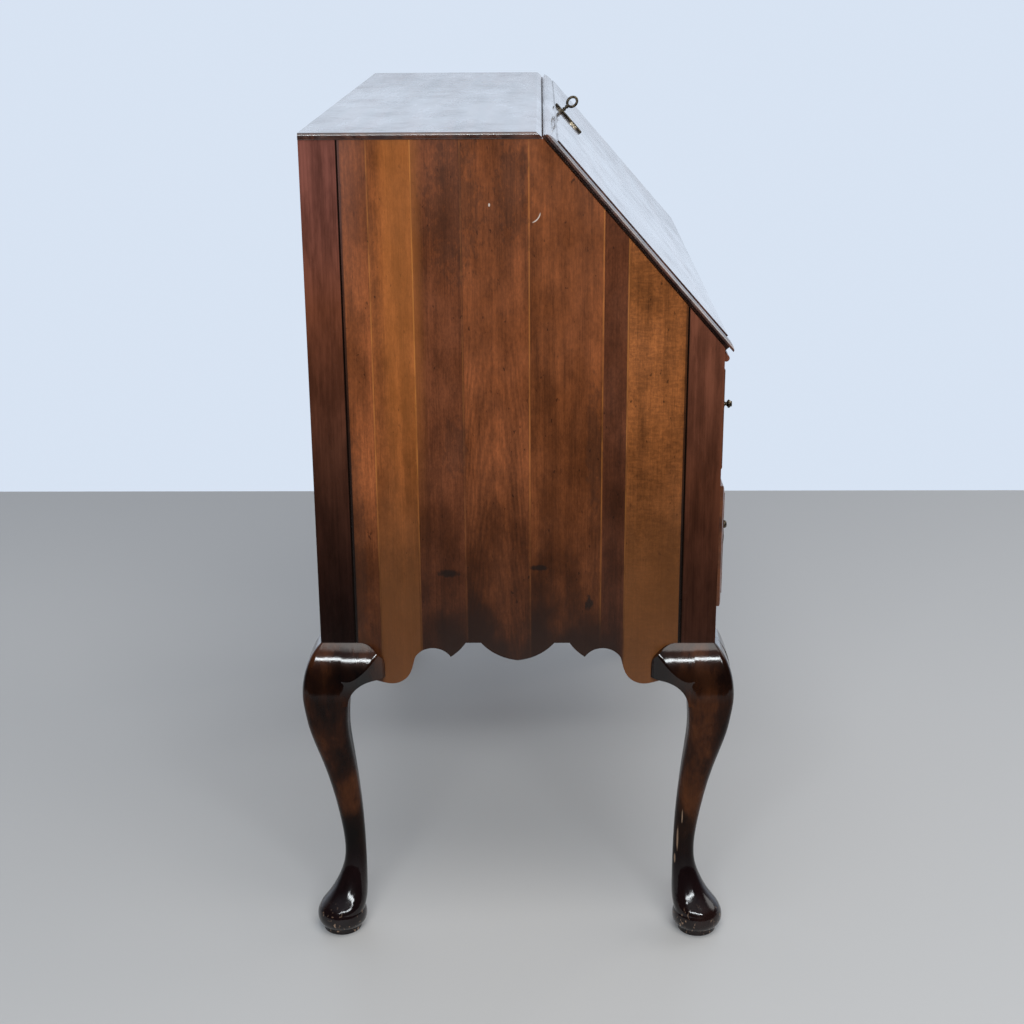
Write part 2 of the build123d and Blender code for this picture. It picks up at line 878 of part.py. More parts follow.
def pull_posts(places, height):
    """Turned posts on small round bases, nutted behind the drawer front."""
    profile_start = case_depth + front_proud
    nut_reach = case_depth - front_body
    shank_middle = (profile_start + nut_reach - 6) / 2
    with BuildPart() as posts:
        for x in places:
            section = Plane(origin=(x, at_reach(profile_start), height), x_dir=(1, 0, 0), z_dir=(0, 0, 1))
            with BuildSketch(section):
                with BuildLine():
                    Polyline(
                        (0, 0),
                        (post_base_radius - 0.6, 0),
                        (post_base_radius, -0.6),
                        (post_base_radius - 1, -1.5),
                    )
                    Spline(
                        (post_base_radius - 1, -1.5),
                        (4.6, -2.2),
                        (2.7, -3.6),
                        (post_head_radius, -pull_stand),
                        (0, -pull_stand - post_head_radius),
                        tangents=((-1, 0), (-1, 0)),
                    )
                    Line((0, -pull_stand - post_head_radius), (0, 0))
                make_face()
            revolve(axis=Axis((x, at_reach(profile_start), height), (0, 1, 0)))
            with Locations(Location((x, at_reach(shank_middle), height), (90, 0, 0))):
                Cylinder(shank_radius, profile_start - nut_reach + 6)
            with Locations(Location((x, at_reach(nut_reach - nut_thickness / 2), height), (90, 0, 0))):
                Cylinder(nut_radius, nut_thickness)
            with Locations(Location((x, at_reach(pull_axis_reach), height), (0, 90, 0))):
                Cylinder(bail_pin_radius + 0.06, 30, mode=Mode.SUBTRACT)
    return posts


def pull_bail(middle, height):
    """Drop handle bent from round wire, its ends turned out through the posts."""
    side = Plane(origin=(middle, at_reach(pull_axis_reach), height), x_dir=(1, 0, 0), z_dir=(0, -1, 0))
    neck = pull_spread - post_head_radius - 1.2
    with BuildPart() as bail:
        with BuildLine(side) as route:
            FilletPolyline(
                (-neck, 0),
                (-neck + 5, 0),
                (-neck + 5, -9),
                (-neck - 2, -18),
                (-neck + 4, -bail_drop),
                (neck - 4, -bail_drop),
                (neck + 2, -18),
                (neck - 5, -9),
                (neck - 5, 0),
                (neck, 0),
                radius=(2.4, 4.5, 5, 6, 6, 5, 4.5, 2.4),
            )
        with BuildSketch(Plane(origin=route.line @ 0, z_dir=route.line % 0)):
            Circle(bail_wire)
        sweep(path=route.line)
        for direction in (-1, 1):
            start = direction * neck
            end = direction * (pull_spread + post_head_radius + 1)
            pin_middle = (middle + (start + end) / 2, at_reach(pull_axis_reach), height)
            with Locations(Location(pin_middle, (0, 90, 0))):
                Cylinder(bail_pin_radius, abs(end - start))
    return bail


# ------------------------------------------------------------------ fitted interior
small_count = 3
partition = 8
small_width = (2 * inner_x - (small_count - 1) * partition) / small_count
pigeonholes = 6
pigeonhole_board = 6
pigeonhole_width = (2 * inner_x - (pigeonholes - 1) * pigeonhole_board) / pigeonholes


def gallery_shelf():
    """Shelf over the small drawers."""
    with BuildPart() as shelf:
        block((-inner_x, inner_x), (back_reach[1], gallery_reach), gallery_shelf_heights)
    return shelf


def gallery_partitions():
    """Uprights between the small drawers."""
    with BuildPart() as uprights:
        for number in range(1, small_count):
            start = -inner_x + number * small_width + (number - 1) * partition
            span = (start, start + partition)
            block(span, (back_reach[1], gallery_reach), (writing_height, gallery_shelf_heights[0]))
    return uprights


def pigeonhole_dividers():
    """Thin uprights between the pigeonholes, their front edges swept back in a curve."""
    low = gallery_shelf_heights[1]
    rear = back_reach[1]
    with BuildPart() as uprights:
        for number in range(1, pigeonholes):
            start = -inner_x + number * pigeonhole_width + (number - 1) * pigeonhole_board
            with BuildSketch(profile_plane(start + pigeonhole_board)):
                with BuildLine():
                    Polyline((gallery_reach - 25, top_body_under), (rear, top_body_under), (rear, low))
                    Line((rear, low), (gallery_reach - 4, low))
                    Spline(
                        (gallery_reach - 4, low),
                        (gallery_reach - 12, low + 22),
                        (gallery_reach - 44, low + 62),
                        (gallery_reach - 34, low + 104),
                        (gallery_reach - 25, top_body_under),
                        tangents=((0, 1), (0, 1)),
                    )
                make_face()
            extrude(amount=pigeonhole_board)
    return uprights


def pigeonhole_valances():
    """Arched valance at the head of each pigeonhole."""
    drop = 22
    front = at_reach(gallery_reach - 36)
    half = pigeonhole_width / 2
    with BuildPart() as valances:
        for number in range(pigeonholes):
            middle = -inner_x + pigeonhole_width / 2 + number * (pigeonhole_width + pigeonhole_board)
            face = Plane(origin=(middle, front, 0), x_dir=(1, 0, 0), z_dir=(0, -1, 0))
            with BuildSketch(face):
                with BuildLine():
                    Polyline((0, top_body_under), (half, top_body_under), (half, top_body_under - drop))
                    ThreePointArc(
                        (half, top_body_under - drop),
                        (half * 0.72, top_body_under - drop * 0.75),
                        (half * 0.55, top_body_under - drop * 0.35),
                    )
                    ThreePointArc(
                        (half * 0.55, top_body_under - drop * 0.35),
                        (half * 0.27, top_body_under - drop * 0.45),
                        (0, top_body_under - drop * 0.85),
                    )
                    mirror(about=Plane.YZ)
                make_face()
            extrude(amount=6)
    return valances


def small_drawer_front(middle):
    """Plain front of a small drawer, with a hollow turned along its edge."""
    half = small_width / 2 - 0.6
    with BuildPart() as front:
        block(
            (middle - half, middle + half),
            (gallery_reach - 9, gallery_reach),
            (writing_height + 0.6, gallery_shelf_heights[0] - 0.8),
        )
        chamfer(front.faces().sort_by(Axis.Y)[0].edges(), length=1.4)
    return front


def small_drawer_box(middle):
    """Sides, back and bottom of a small drawer, hollowed in one."""
    half = small_width / 2 - 0.8
    low = writing_height + 0.8
    high = gallery_shelf_heights[0] - 3
    with BuildPart() as box:
        block((middle - half, middle + half), (back_reach[1] + 3, gallery_reach - 9), (low, high))
        block(
            (middle - half + 5, middle + half - 5),
            (back_reach[1] + 8, gallery_reach - 9),
            (low + 4, high + 1),
            mode=Mode.SUBTRACT,
        )
    return box


# ------------------------------------------------------------------ build and write
pieces = {}
for is_front, row in ((False, "rear"), (True, "front")):
    leg = leg_and_stile(is_front)
    pieces[f"leg_{row}_left"] = leg
    pieces[f"leg_{row}_right"] = mirrored(leg)

side_ear = knee_block(Vector(left_x, rear_y, 0), Vector(0, -1, 0), Vector(-1, 0, 0))
front_ear = knee_block(Vector(left_x, front_y, 0), Vector(1, 0, 0), Vector(0, -1, 0))
with BuildPart() as knee_blocks_left:
    add(side_ear.part)
    mirror(side_ear.part, about=Plane.XZ)
pieces["knee_blocks_left"] = knee_blocks_left
pieces["knee_blocks_right"] = mirrored(knee_blocks_left)
with BuildPart() as knee_blocks_front:
    add(front_ear.part)
    mirror(front_ear.part, about=Plane.YZ)
pieces["knee_blocks_front"] = knee_blocks_front

pieces["side_panel_left"] = side_panel()
pieces["side_panel_right"] = mirrored(pieces["side_panel_left"])
pieces["top_board"] = top_board()
pieces["writing_board"] = writing_board()
pieces["writing_bead"] = writing_bead()
pieces["front_apron"] = front_apron()
pieces["rear_rail"] = rear_rail()
pieces["back_panel"] = back_panel()
pieces["middle_rail"] = middle_rail()
pieces["upper_runners"] = upper_runners()
pieces["lower_runners"] = lower_runners()
pieces["loper_dividers"] = loper_dividers()
pieces["gallery_shelf"] = gallery_shelf()
pieces["gallery_partitions"] = gallery_partitions()
pieces["pigeonhole_dividers"] = pigeonhole_dividers()
pieces["pigeonhole_valances"] = pigeonhole_valances()
pieces["strike_plate"] = strike_plate()
pieces["hinge_case_leaves"] = hinge_case_leaves()
pieces["hinge_pins"] = hinge_pins()
pieces["hinge_lid_leaves"] = hinge_lid_leaves()
pieces["lid_panel"] = lid_panel()
pieces["lock_case"] = lock_case()
pieces["lock_bolt"] = lock_bolt()
pieces["lid_key"] = lid_key()
pieces["key_escutcheon"] = key_escutcheon()

left_arm = loper()
arm_middle = left_x + sum(loper_slot) / 2
left_knob = turned_knob(arm_middle, loper_front, loper_knob_height, 4.9, 9.5)
pieces["loper_left"] = left_arm
pieces["loper_right"] = mirrored(left_arm)
pieces["loper_knob_left"] = left_knob
pieces["loper_knob_right"] = mirrored(left_knob)

drawer_rear = 60
upper_half = right_x - divider_span[1]
lower_half = inner_x
rows = (
    (
        "upper", upper_half, (rail_middle[1], writing_underside),
        (drawer_lip, drawer_lip, -0.7), pull_height_upper, pull_inset_upper,
    ),
    (
        "lower", lower_half, (rail_bottom_top, rail_middle[0]),
        (8, drawer_lip, drawer_lip), pull_height_lower, pull_inset_lower,
    ),
)
for row, half_width, heights, lips, pull_height, pull_inset in rows:
    middles = (left_x + pull_inset, right_x - pull_inset)
    places = [middle + side * pull_spread for middle in middles for side in (-1, 1)]
    holes = [(x, pull_height) for x in places]
    pieces[f"{row}_drawer_front"] = drawer_front(half_width, heights, lips, holes)
    pieces[f"{row}_drawer_sides"] = drawer_sides(half_width, heights, drawer_rear)
    pieces[f"{row}_drawer_back"] = drawer_back_board(half_width, heights, drawer_rear)
    pieces[f"{row}_drawer_bottom"] = drawer_bottom(half_width, heights, drawer_rear)
    pieces[f"{row}_pull_posts"] = pull_posts(places, pull_height)
    for side, middle in zip(("left", "right"), middles):
        pieces[f"{row}_bail_{side}"] = pull_bail(middle, pull_height)

for number in range(small_count):
    middle = -inner_x + small_width / 2 + number * (small_width + partition)
    pieces[f"small_drawer_{number + 1}_front"] = small_drawer_front(middle)
    pieces[f"small_drawer_{number + 1}_box"] = small_drawer_box(middle)
    pieces[f"small_drawer_{number + 1}_knob"] = turned_knob(
        middle, gallery_reach, (writing_height + gallery_shelf_heights[0]) / 2, 6, 13
    )

os.makedirs("parts", exist_ok=True)
for name, piece in pieces.items():
    piece.part.label = name
    export_step(piece.part, f"parts/{name}.step")
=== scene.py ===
"""Looks of the slant-front secretary desk: polished old wood, dark legs and aged brass.

Lengths are metres. Reach is the distance forwards from the rear face of the desk.
"""
from math import radians

import bpy
from mathutils import Euler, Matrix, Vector


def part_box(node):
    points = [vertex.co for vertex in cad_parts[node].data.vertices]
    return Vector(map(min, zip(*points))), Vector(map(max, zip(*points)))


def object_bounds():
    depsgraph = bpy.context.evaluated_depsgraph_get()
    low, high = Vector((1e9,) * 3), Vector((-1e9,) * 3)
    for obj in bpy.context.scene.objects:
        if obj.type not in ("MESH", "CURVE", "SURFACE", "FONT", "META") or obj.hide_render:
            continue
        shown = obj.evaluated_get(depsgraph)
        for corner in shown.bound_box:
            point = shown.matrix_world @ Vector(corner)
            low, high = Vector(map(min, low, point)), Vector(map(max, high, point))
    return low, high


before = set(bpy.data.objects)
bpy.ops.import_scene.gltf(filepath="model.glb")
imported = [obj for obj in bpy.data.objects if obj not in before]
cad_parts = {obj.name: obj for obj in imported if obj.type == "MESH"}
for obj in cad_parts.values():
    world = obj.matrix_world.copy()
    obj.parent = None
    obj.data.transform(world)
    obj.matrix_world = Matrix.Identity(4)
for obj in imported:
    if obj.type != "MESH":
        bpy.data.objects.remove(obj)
cad_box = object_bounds()

desk_low = cad_box[0]
front_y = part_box("middle_rail")[0].y
rear_y = -front_y
depth = rear_y - front_y
case_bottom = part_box("knee_blocks_left")[1].z


def grey(value):
    """Neutral colour."""
    return (value, value, value, 1)


class Look:
    """One procedural material, with short helpers for its nodes."""

    def __init__(self, name, roughness=0.4, metallic=0.0, coat=0.0, coat_roughness=0.1, specular=0.5):
        self.material = bpy.data.materials.new(name)
        self.material.use_nodes = True
        self.tree = self.material.node_tree
        self.shader = self.tree.nodes["Principled BSDF"]
        self.shader.inputs["Roughness"].default_value = roughness
        self.shader.inputs["Metallic"].default_value = metallic
        self.shader.inputs["Coat Weight"].default_value = coat
        self.shader.inputs["Coat Roughness"].default_value = coat_roughness
        self.shader.inputs["Specular IOR Level"].default_value = specular
        self.place = self.tree.nodes.new("ShaderNodeTexCoord").outputs["Object"]
        split = self.tree.nodes.new("ShaderNodeSeparateXYZ")
        self.tree.links.new(self.place, split.inputs[0])
        self.x, self.y, self.z = split.outputs
        self.normal = None

    def feed(self, socket, value):
        """Link a socket, or set a constant on it."""
        if isinstance(value, bpy.types.NodeSocket):
            self.tree.links.new(value, socket)
        else:
            socket.default_value = value

    def calc(self, operation, first, second=0.0, third=0.0, clamp=False):
        """Math on up to three values, each a socket or a number."""
        node = self.tree.nodes.new("ShaderNodeMath")
        node.operation = operation
        node.use_clamp = clamp
        for socket, value in zip(node.inputs, (first, second, third)):
            self.feed(socket, value)
        return node.outputs[0]

    def fade(self, value, start, end, low=0.0, high=1.0):
        """Smooth step from low at start to high at end; start may be the larger."""
        node = self.tree.nodes.new("ShaderNodeMapRange")
        node.interpolation_type = "SMOOTHSTEP"
        self.feed(node.inputs["Value"], value)
        if start > end:
            start, end, low, high = end, start, high, low
        node.inputs["From Min"].default_value = start
        node.inputs["From Max"].default_value = end
        node.inputs["To Min"].default_value = low
        node.inputs["To Max"].default_value = high
        return node.outputs["Result"]

    def join(self, x, y, z):
        """Vector, or grey colour, from three values."""
        node = self.tree.nodes.new("ShaderNodeCombineXYZ")
        for socket, value in zip(node.inputs, (x, y, z)):
            self.feed(socket, value)
        return node.outputs[0]

    def stretch(self, scale, shift=(0, 0, 0), vector=None):
        """Place multiplied by a scale, then shifted."""
        node = self.tree.nodes.new("ShaderNodeVectorMath")
        node.operation = "MULTIPLY_ADD"
        self.feed(node.inputs[0], vector or self.place)
        node.inputs[1].default_value = scale
        self.feed(node.inputs[2], shift)
        return node.outputs[0]

    def noise(self, vector, scale=1.0, detail=3.0, roughness=0.55, distortion=0.0):
        """Fractal noise, mostly between 0.3 and 0.7."""
        node = self.tree.nodes.new("ShaderNodeTexNoise")
        self.feed(node.inputs["Vector"], vector)
        node.inputs["Scale"].default_value = scale
        node.inputs["Detail"].default_value = detail
        node.inputs["Roughness"].default_value = roughness
        node.inputs["Distortion"].default_value = distortion
        return node.outputs["Fac"]

    def ramp(self, value, stops, mode="LINEAR"):
        """Colour ramp from (position, colour) stops."""
        node = self.tree.nodes.new("ShaderNodeValToRGB")
        node.color_ramp.interpolation = mode
        elements = node.color_ramp.elements
        elements.remove(elements[1])
        elements[0].position = stops[0][0]
        elements[0].color = (*stops[0][1][:3], 1)
        for position, colour in stops[1:]:
            elements.new(position).color = (*colour[:3], 1)
        self.feed(node.inputs[0], value)
        return node.outputs["Color"]

    def mix(self, factor, first, second, mode="MIX"):
        """Blend of two colours, the second at a factor of 1."""
        node = self.tree.nodes.new("ShaderNodeMix")
        node.data_type = "RGBA"
        node.blend_type = mode
        self.feed(node.inputs["Factor"], factor)
        self.feed(node.inputs[6], first)
        self.feed(node.inputs[7], second)
        return node.outputs[2]

    def shade(self, colour, value):
        """Colour multiplied by a grey value."""
        return self.mix(1.0, colour, self.join(value, value, value), "MULTIPLY")

    def line(self, coordinate, at, half_width, soft):
        """1 on a line at a coordinate, 0 away from it."""
        distance = self.calc("ABSOLUTE", self.calc("SUBTRACT", coordinate, at))
        return self.fade(distance, half_width + soft, half_width)

    def spot(self, along, up, centre, size, ragged=0.0):
        """1 in the middle of an ellipse in a face, 0 outside; ragged noise tears its edge."""
        across = self.calc("DIVIDE", self.calc("SUBTRACT", along, centre[0]), size[0])
        rise = self.calc("DIVIDE", self.calc("SUBTRACT", up, centre[1]), size[1])
        square = self.calc("ADD", self.calc("MULTIPLY", across, across), self.calc("MULTIPLY", rise, rise))
        if ragged:
            tear = self.noise(self.stretch((180, 180, 90)), detail=4, roughness=0.7)
            tear = self.calc("MULTIPLY", self.calc("SUBTRACT", tear, 0.5), ragged)
            square = self.calc("ADD", square, tear)
        return self.fade(square, 1.0, 0.25)

    def total(self, values):
        """Sum of masks, held at 1."""
        result = values[0]
        for value in values[1:]:
            result = self.calc("ADD", result, value, clamp=True)
        return result

    def paint(self, colour):
        """Set the base colour."""
        self.feed(self.shader.inputs["Base Color"], colour)

    def gloss(self, roughness):
        """Set the roughness."""
        self.feed(self.shader.inputs["Roughness"], roughness)

    def bump(self, height, distance, strength=1.0):
        """Add relief from a height on top of any relief already there."""
        node = self.tree.nodes.new("ShaderNodeBump")
        node.inputs["Strength"].default_value = strength
        node.inputs["Distance"].default_value = distance
        self.feed(node.inputs["Height"], height)
        if self.normal is not None:
            self.feed(node.inputs["Normal"], self.normal)
        self.normal = node.outputs["Normal"]
        self.feed(self.shader.inputs["Normal"], self.normal)
        self.feed(self.shader.inputs["Coat Normal"], self.normal)


# ------------------------------------------------------------------ wood
def axis_scale(axis, along, across):
    """Scale that stretches a texture along one axis."""
    scale = [across, across, across]
    scale["XYZ".index(axis)] = along
    return tuple(scale)


def wood_figure(look, axis, shift=(0, 0, 0)):
    """Fibres, fine pores and broad figure of wood whose grain runs along an axis, each about 0.5."""
    along_fibres = look.stretch(axis_scale(axis, 6, 520), shift)
    along_pores = look.stretch(axis_scale(axis, 38, 1500), shift)
    along_figure = look.stretch(axis_scale(axis, 2.6, 42), shift)
    fibres = look.noise(along_fibres, detail=4, roughness=0.65)
    pores = look.noise(along_pores, detail=2, roughness=0.6)
    figure = look.noise(along_figure, detail=5, roughness=0.6, distortion=0.8)
    return fibres, pores, figure


def plain_wood(name, axis, light, dark, roughness, coat, contrast=1.0):
    """Polished wood with grain along an axis, mottled between two colours."""
    look = Look(name, roughness=roughness, coat=coat, coat_roughness=0.12)
    fibres, pores, figure = wood_figure(look, axis)
    mottle = look.noise(look.stretch((9, 9, 9)), detail=3)
    blend = look.calc("ADD", look.calc("MULTIPLY", figure, 0.7), look.calc("MULTIPLY", mottle, 0.3))
    colour = look.mix(look.fade(blend, 0.38, 0.62), dark, light)
    colour = look.shade(colour, look.fade(fibres, 0.2, 0.8, 1 - 0.22 * contrast, 1 + 0.22 * contrast))
    colour = look.shade(colour, look.fade(pores, 0.3, 0.5, 1 - 0.25 * contrast, 1.0))
    look.paint(colour)
    look.gloss(look.fade(mottle, 0.3, 0.7, roughness * 0.85, roughness * 1.25))
    look.bump(pores, 0.0002, 0.25)
    look.bump(figure, 0.0008, 0.12)
    return look


# ends of the boards glued up across a side, and what each looks like
BOARD_EDGES = (0.0, 0.0412, 0.071, 0.1175, 0.170, 0.2433, 0.3238, 0.351, 0.416)
BOARD_COLOURS = (
    (0.150, 0.046, 0.020),
    (0.262, 0.074, 0.022),
    (0.278, 0.080, 0.020),
    (0.165, 0.047, 0.017),
    (0.200, 0.056, 0.017),
    (0.220, 0.062, 0.018),
    (0.135, 0.039, 0.015),
    (0.300, 0.094, 0.024),
    (0.150, 0.040, 0.016),
)
JOINT_COLOUR = (0.006, 0.003, 0.002, 1)
GOLD = (0.56, 0.18, 0.035, 1)
# painted highlight colour of the seams between the boards
SEAM_HIGHLIGHT = (0.62, 0.23, 0.05, 1)
OLIVE = (0.205, 0.074, 0.021, 1)
DIRT = (0.020, 0.009, 0.006, 1)
STAIN = (0.012, 0.007, 0.005, 1)
SMUDGE = (0.030, 0.014, 0.009, 1)
# painted reflection colour of the room on the polish
ROOM_REFLECTION_TINT = (0.34, 0.27, 0.32, 1)
SCRATCH = (0.62, 0.52, 0.44, 1)
FOOT_COLOUR = (0.0085, 0.0035, 0.0040, 1)
BARE_WOOD = (0.46, 0.30, 0.20, 1)
KNEE_HEIGHT = 0.345

# black joints beside the corner posts, on the side and on the post: reach, half width, soft edge
SIDE_JOINTS = ((0.0421, 0.0010, 0.0010), (0.4151, 0.0009, 0.0010))
POST_JOINTS = ((0.0404, 0.0008, 0.0009), (0.4167, 0.0007, 0.0009))

# marks: centre as reach and height, half size, raggedness
STAINS = (
    ((0.150, 0.470), (0.015, 0.0055), 1.8),
    ((0.253, 0.477), (0.012, 0.0040), 1.8),
    ((0.311, 0.434), (0.006, 0.011), 3.0),
)
SMUDGES = (
    ((0.162, 0.89), (0.034, 0.09), 4.5),
    ((0.226, 0.905), (0.020, 0.06), 4.5),
    ((0.047, 0.50), (0.012, 0.16), 2.5),
    ((0.160, 0.62), (0.016, 0.04), 3.6),
    ((0.315, 0.62), (0.010, 0.09), 3.2),
)
SCRAPES = (
    ((0.4215, 0.118), (0.0011, 0.020), 1.4),
    ((0.4260, 0.152), (0.0009, 0.011), 1.4),
    ((0.4190, 0.090), (0.0010, 0.007), 1.0),
)

# reach and strength of each seam that shows
SEAMS = ((0.071, 0.9), (0.1175, 0.95), (0.170, 0.3), (0.2433, 0.8), (0.3238, 0.75), (0.351, 1.0))


def side_reach(look):
    """Reach on the left side; the right side's boards lie in the opposite order."""
    reach = look.calc("SUBTRACT", rear_y, look.y)
    flipped = look.calc("SUBTRACT", depth, reach)
    on_right = look.calc("GREATER_THAN", look.x, 0.0)
    difference = look.calc("SUBTRACT", flipped, reach)
    return look.calc("MULTIPLY_ADD", difference, on_right, reach)


def side_boards(look, reach):
    """Tone and texture shift of each glued-up board."""
    starts = [edge / depth for edge in BOARD_EDGES]
    share = look.calc("DIVIDE", reach, depth)
    tone = look.ramp(share, list(zip(starts, BOARD_COLOURS)), "CONSTANT")
    steps = [(start, grey((number * 0.37) % 1.0)) for number, start in enumerate(starts)]
    number = look.ramp(share, steps, "CONSTANT")
    shift = look.tree.nodes.new("ShaderNodeVectorMath")
    shift.operation = "SCALE"
    look.feed(shift.inputs[0], number)
    shift.inputs["Scale"].default_value = 17.0
    return tone, shift.outputs[0]


def cathedral(look, reach):
    """Nested arches of plain-sawn grain on the fourth board, as a value round 0.5."""
    middle = 0.205
    half_width = 0.022
    drop = 0.085
    ripples = 150.0
    aside = look.calc("DIVIDE", look.calc("SUBTRACT", reach, middle), half_width)
    arch = look.calc("MULTIPLY", look.calc("MULTIPLY", aside, aside), drop)
    waver = look.noise(look.stretch((20, 20, 7)), detail=4, roughness=0.6)
    waver = look.calc("MULTIPLY", waver, 0.16)
    height = look.calc("ADD", look.calc("ADD", look.z, arch), waver)
    ripple = look.calc("SINE", look.calc("MULTIPLY", height, ripples))
    on_board = look.line(reach, middle, 0.026, 0.01)
    inside = look.calc("MULTIPLY", on_board, look.fade(look.z, 0.80, 0.66))
    return look.calc("MULTIPLY_ADD", look.calc("MULTIPLY", ripple, inside), 0.5, 0.5)


def case_wood():
    """Sides: warm brown polish on glued-up boards of several tones, darker towards the foot from dirt and
    from painted shade.
    """
    look = Look("case_wood", roughness=0.38, coat=0.17, coat_roughness=0.16, specular=0.24)
    reach = side_reach(look)
    tone, shift = side_boards(look, reach)
    fibres, pores, figure = wood_figure(look, "Z", shift)
    arches = cathedral(look, reach)
    clouds = look.noise(look.stretch((11, 11, 7), shift), detail=4, roughness=0.6)
    colour = look.shade(tone, look.fade(figure, 0.3, 0.7, 0.68, 1.16))
    colour = look.shade(colour, look.fade(fibres, 0.25, 0.75, 0.86, 1.14))
    colour = look.shade(colour, look.fade(clouds, 0.3, 0.7, 0.74, 1.18))
    blotches = look.noise(look.stretch((48, 48, 26), shift), detail=5, roughness=0.68)
    colour = look.shade(colour, look.fade(blotches, 0.3, 0.62, 0.78, 1.10))
    colour = look.shade(colour, look.fade(arches, 0.0, 1.0, 0.86, 1.08))
    colour = look.shade(colour, look.fade(pores, 0.32, 0.46, 0.74, 1.0))
    speckle = look.noise(look.stretch((420, 420, 210), shift), detail=3, roughness=0.7)
    colour = look.shade(colour, look.fade(speckle, 0.32, 0.68, 0.84, 1.13))
    dots = look.noise(look.stretch((230, 230, 130), shift), detail=1)
    dotted = look.calc("MULTIPLY", look.fade(dots, 0.715, 0.745), look.fade(blotches, 0.56, 0.44))
    colour = look.shade(colour, look.calc("MULTIPLY_ADD", dotted, -0.6, 1.0))

    # curly figure across the front board
    curl = look.noise(look.stretch((20, 60, 190)), detail=3, distortion=1.5)
    on_front = look.line(reach, 0.384, 0.030, 0.004)
    curl = look.calc("MULTIPLY", look.fade(curl, 0.35, 0.65, -0.16, 0.16), on_front)
    colour = look.shade(colour, look.calc("ADD", curl, 1.0))

    # golden glow where the polish has worn thin, and pale seams between the boards: painted highlights
    # standing in for light catching the board edges
    glow = look.calc("MULTIPLY", look.line(reach, 0.105, 0.012, 0.016), look.fade(look.z, 0.42, 0.80))
    colour = look.mix(look.calc("MULTIPLY", glow, 0.28), colour, GOLD)
    seams = [
        look.calc("MULTIPLY", look.line(reach, at, 0.0003, 0.0007), share)
        for at, share in SEAMS
    ]
    broken = look.fade(look.noise(look.stretch((30, 30, 22)), detail=3), 0.34, 0.58, 0.35, 1.0)
    seam = look.calc("MULTIPLY", look.total(seams), broken)
    # pale seam lines: painted highlight of the board edges
    colour = look.mix(look.calc("MULTIPLY", seam, 0.48), colour, SEAM_HIGHLIGHT)

    # darker towards the foot, partly dirt and partly painted shade for the light falling off towards the
    # floor, least on the two golden boards; dirt most on the scalloped edge; the golden boards turn olive
    # towards the foot
    golden = look.total([look.line(reach, 0.094, 0.021, 0.004), look.line(reach, 0.384, 0.031, 0.004)])
    kept_light = look.calc("MULTIPLY", golden, 0.62)
    olive = look.calc("MULTIPLY", golden, look.fade(look.z, 0.62, 0.42))
    colour = look.mix(look.calc("MULTIPLY", olive, 0.75), colour, OLIVE)
    low = look.calc("ADD", look.z, look.fade(clouds, 0.25, 0.75, -0.05, 0.05))
    # darkening towards the foot: part dirt, part painted shade
    colour = look.shade(colour, look.calc("MAXIMUM", look.fade(low, 0.36, 0.66, 0.26, 1.0), kept_light))
    mid_boards = look.fade(reach, 0.118, 0.150)
    mid_boards = look.calc("MULTIPLY", mid_boards, look.fade(reach, 0.352, 0.338))
    edge_dirt = look.calc("MULTIPLY", mid_boards, look.fade(low, 0.455, 0.372))
    colour = look.mix(look.calc("MULTIPLY", edge_dirt, 0.86), colour, DIRT)
    stains = look.total([look.spot(reach, look.z, *place) for place in STAINS])
    colour = look.mix(look.calc("MULTIPLY", stains, 0.88), colour, STAIN)
    smudges = look.total([look.spot(reach, look.z, *place) for place in SMUDGES])
    colour = look.mix(look.calc("MULTIPLY", smudges, 0.36), colour, SMUDGE)

    # black joints beside the corner posts, wider downwards
    width = look.fade(look.z, 0.42, 0.95, 1.0, 0.45)
    joint = look.total([look.calc("MULTIPLY", look.line(reach, *place), width) for place in SIDE_JOINTS])
    colour = look.mix(joint, colour, JOINT_COLOUR)

    # pale purplish painted reflection of the room on the polish near the top of the rear boards
    painted_reflection = look.calc("MULTIPLY", look.fade(look.z, 0.74, 0.96), look.fade(reach, 0.085, 0.045))
    colour = look.mix(look.calc("MULTIPLY", painted_reflection, 0.08), colour, ROOM_REFLECTION_TINT)

    # a curved white scratch and a nick
    bend = look.calc("SUBTRACT", reach, 0.2430)
    drop = look.calc("SUBTRACT", look.z, 0.882)
    square = look.calc("ADD", look.calc("MULTIPLY", bend, bend), look.calc("MULTIPLY", drop, drop))
    arc = look.calc("SQRT", square)
    end = look.spot(reach, look.z, (0.253, 0.873), (0.0075, 0.009))
    scratch = look.calc("MULTIPLY", look.line(arc, 0.0125, 0.0003, 0.0005), end)
    nick = look.spot(reach, look.z, (0.201, 0.889), (0.0012, 0.0022))
    colour = look.mix(look.total([scratch, nick]), colour, SCRATCH)
    look.paint(colour)
    look.gloss(look.fade(clouds, 0.3, 0.7, 0.30, 0.48))
    look.bump(look.total([look.calc("MULTIPLY", seam, 0.5), joint]), 0.0006, -0.6)
    look.bump(pores, 0.0002, 0.3)
    look.bump(figure, 0.001, 0.12)
    return look


